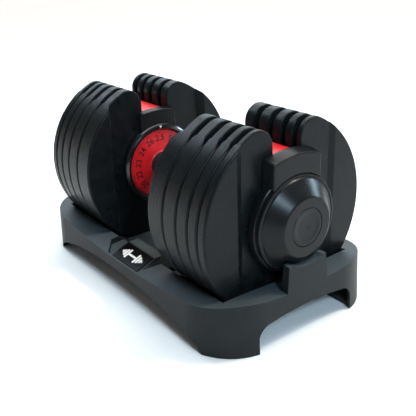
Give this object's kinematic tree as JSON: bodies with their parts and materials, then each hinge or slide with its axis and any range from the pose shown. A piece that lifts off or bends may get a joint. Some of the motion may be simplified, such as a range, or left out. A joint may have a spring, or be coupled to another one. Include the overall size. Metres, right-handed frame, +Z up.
{
  "type": "adjustable dumbbell",
  "caption": "Adjustable dumbbell with slotted iron plates picked up by a twist handle with red number dials, seated in its moulded storage tray.",
  "frame": {"origin": "on the floor under the middle of the tray", "axes": "+X along the handle, -Y towards the label side of the tray, +Z up"},
  "size_m": [0.3716, 0.2154, 0.2044],
  "materials": {
    "tray_plastic": "fine-grained moulded polypropylene, dark grey",
    "pad_rubber": "soft black rubber",
    "label_gloss": "glossy black label with a light pictogram",
    "plate_iron": "cast iron under satin black paint",
    "cover_plastic": "semi-gloss black moulded nylon",
    "bezel_gloss": "polished black plastic",
    "pointer_light": "light inlay",
    "red_plastic": "satin red plastic",
    "disc_steel": "stamped steel",
    "lock_plastic": "glass-filled nylon",
    "bush_plastic": "natural acetal",
    "zinc_steel": "zinc-plated steel",
    "tube_steel": "drawn steel tube",
    "spring_steel": "spring steel",
    "grip_rubber": "black thermoplastic rubber"
  },
  "bodies": {
    "tray_base": {"tray": "tray_plastic", "tray_pads": "pad_rubber", "tray_label": "label_gloss"},
    "right_plate_1": {"right_plate_1": "plate_iron"},
    "right_plate_2": {"right_plate_2": "plate_iron"},
    "right_plate_3": {"right_plate_3": "plate_iron"},
    "right_plate_4": {"right_plate_4": "plate_iron"},
    "right_plate_5": {"right_plate_5": "plate_iron"},
    "left_plate_1": {"left_plate_1": "plate_iron"},
    "left_plate_2": {"left_plate_2": "plate_iron"},
    "left_plate_3": {"left_plate_3": "plate_iron"},
    "left_plate_4": {"left_plate_4": "plate_iron"},
    "left_plate_5": {"left_plate_5": "plate_iron"},
    "dumbbell_frame": {"tie_rod": "zinc_steel", "right_inner_cover": "cover_plastic", "right_bezel": "bezel_gloss", "right_index_pointer": "pointer_light", "right_bridge": "red_plastic", "right_outer_cover": "cover_plastic", "right_back_plate": "cover_plastic", "right_end_plug": "cover_plastic", "right_tie_nut": "zinc_steel", "right_cover_screws": "zinc_steel", "right_inner_bush": "bush_plastic", "right_outer_bush": "bush_plastic", "left_inner_cover": "cover_plastic", "left_bezel": "bezel_gloss", "left_index_pointer": "pointer_light", "left_bridge": "red_plastic", "left_outer_cover": "cover_plastic", "left_back_plate": "cover_plastic", "left_end_plug": "cover_plastic", "left_tie_nut": "zinc_steel", "left_cover_screws": "zinc_steel", "left_inner_bush": "bush_plastic", "left_outer_bush": "bush_plastic"},
    "twist_handle": {"grip": "grip_rubber", "core_tube": "tube_steel", "right_dial": "red_plastic", "right_lock_ring": "lock_plastic", "right_selector_disc_1": "disc_steel", "right_selector_disc_2": "disc_steel", "right_selector_disc_3": "disc_steel", "right_selector_disc_4": "disc_steel", "left_dial": "red_plastic", "left_lock_ring": "lock_plastic", "left_selector_disc_1": "disc_steel", "left_selector_disc_2": "disc_steel", "left_selector_disc_3": "disc_steel", "left_selector_disc_4": "disc_steel"},
    "right_lock": {"right_lock_pin": "lock_plastic", "right_lock_spring": "spring_steel"},
    "left_lock": {"left_lock_pin": "lock_plastic", "left_lock_spring": "spring_steel"}
  },
  "joints": [
    {"name": "weight_lift", "type": "slide", "parent": "tray_base", "child": "right_plate_1", "axis": [0, 0, 1], "range_m": [0, 0.22]},
    {"name": "right_plate_2_lift", "type": "slide", "parent": "tray_base", "child": "right_plate_2", "axis": [0, 0, 1], "range_m": [0, 0.22]},
    {"name": "right_plate_3_lift", "type": "slide", "parent": "tray_base", "child": "right_plate_3", "axis": [0, 0, 1], "range_m": [0, 0.22]},
    {"name": "right_plate_4_lift", "type": "slide", "parent": "tray_base", "child": "right_plate_4", "axis": [0, 0, 1], "range_m": [0, 0.22]},
    {"name": "right_plate_5_lift", "type": "slide", "parent": "tray_base", "child": "right_plate_5", "axis": [0, 0, 1], "range_m": [0, 0.22]},
    {"name": "left_plate_1_lift", "type": "slide", "parent": "tray_base", "child": "left_plate_1", "axis": [0, 0, 1], "range_m": [0, 0.22]},
    {"name": "left_plate_2_lift", "type": "slide", "parent": "tray_base", "child": "left_plate_2", "axis": [0, 0, 1], "range_m": [0, 0.22]},
    {"name": "left_plate_3_lift", "type": "slide", "parent": "tray_base", "child": "left_plate_3", "axis": [0, 0, 1], "range_m": [0, 0.22]},
    {"name": "left_plate_4_lift", "type": "slide", "parent": "tray_base", "child": "left_plate_4", "axis": [0, 0, 1], "range_m": [0, 0.22]},
    {"name": "left_plate_5_lift", "type": "slide", "parent": "tray_base", "child": "left_plate_5", "axis": [0, 0, 1], "range_m": [0, 0.22]},
    {"name": "handle_lift", "type": "slide", "parent": "right_plate_1", "child": "dumbbell_frame", "axis": [0, 0, 1], "range_m": [0, 0.22]},
    {"name": "handle_twist", "type": "hinge", "parent": "dumbbell_frame", "child": "twist_handle", "pos_m": [0, 0, 0.111], "axis": [1, 0, 0], "range_deg": [0, 334.29]},
    {"name": "right_lock_travel", "type": "slide", "parent": "dumbbell_frame", "child": "right_lock", "axis": [0, 0, -1], "range_m": [0, 0.0035], "deforming": ["right_lock_spring"]},
    {"name": "left_lock_travel", "type": "slide", "parent": "dumbbell_frame", "child": "left_lock", "axis": [0, 0, -1], "range_m": [0, 0.0035], "deforming": ["left_lock_spring"]}
  ],
  "couplings": [
    {"joint": "right_plate_2_lift", "follows": "weight_lift", "ratio": 1},
    {"joint": "right_plate_3_lift", "follows": "weight_lift", "ratio": 1},
    {"joint": "right_plate_4_lift", "follows": "weight_lift", "ratio": 1},
    {"joint": "right_plate_5_lift", "follows": "weight_lift", "ratio": 1},
    {"joint": "left_plate_1_lift", "follows": "weight_lift", "ratio": 1},
    {"joint": "left_plate_2_lift", "follows": "weight_lift", "ratio": 1},
    {"joint": "left_plate_3_lift", "follows": "weight_lift", "ratio": 1},
    {"joint": "left_plate_4_lift", "follows": "weight_lift", "ratio": 1},
    {"joint": "left_plate_5_lift", "follows": "weight_lift", "ratio": 1},
    {"joint": "right_lock_travel", "follows": "handle_lift", "ratio": 0.015909},
    {"joint": "left_lock_travel", "follows": "handle_lift", "ratio": 0.015909}
  ]
}
